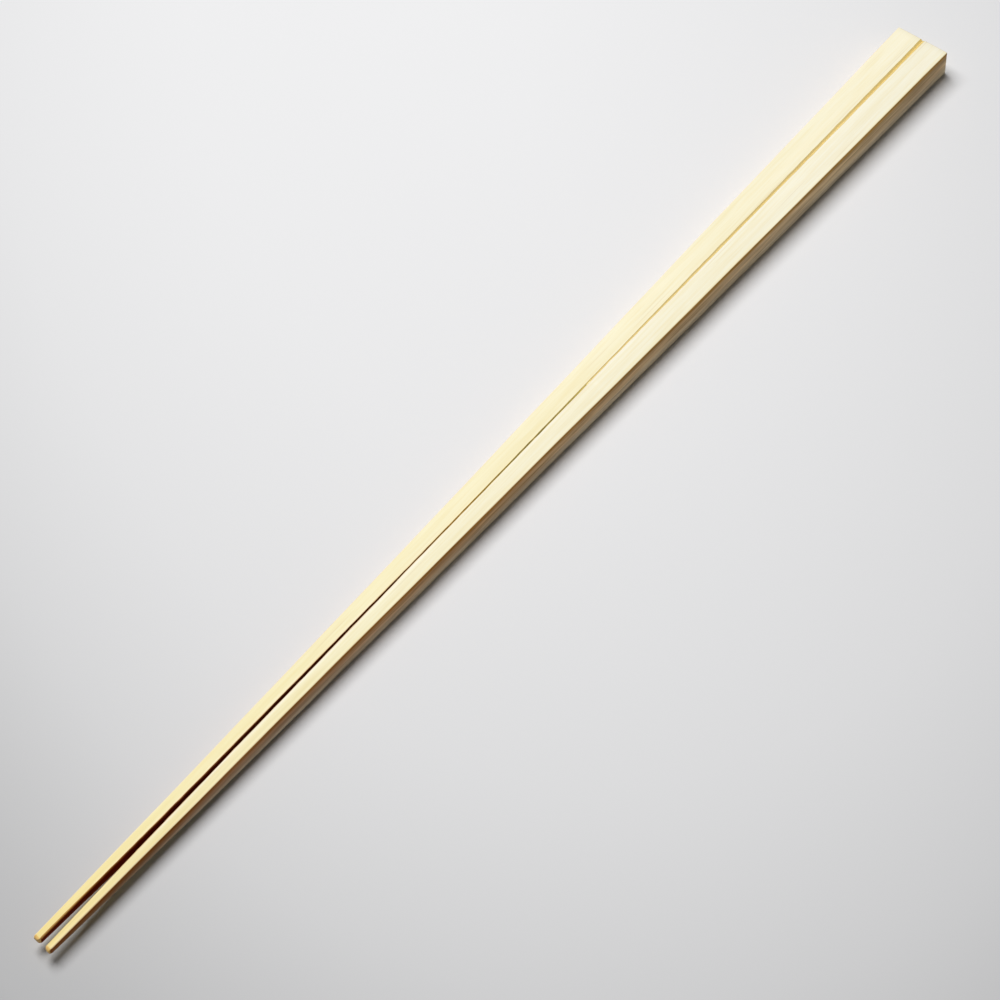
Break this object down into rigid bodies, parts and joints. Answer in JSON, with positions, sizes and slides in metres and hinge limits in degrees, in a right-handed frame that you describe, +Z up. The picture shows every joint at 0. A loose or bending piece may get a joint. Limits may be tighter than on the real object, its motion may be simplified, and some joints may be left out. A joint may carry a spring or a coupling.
{
  "type": "disposable chopsticks",
  "caption": "Slim bamboo chopsticks still joined side by side, slit from the tapered tips to midway, with a splitting groove running on to the square-cut head.",
  "frame": {"origin": "middle of the underside, on the surface it lies on", "axes": "+X from the slim tips to the square head, +Y to the left seen from the tips, +Z up"},
  "size_m": [0.2399, 0.0104, 0.0053],
  "materials": {
    "bamboo": "bare satin"
  },
  "bodies": {
    "root": {"chopsticks": "bamboo"}
  },
  "joints": []
}
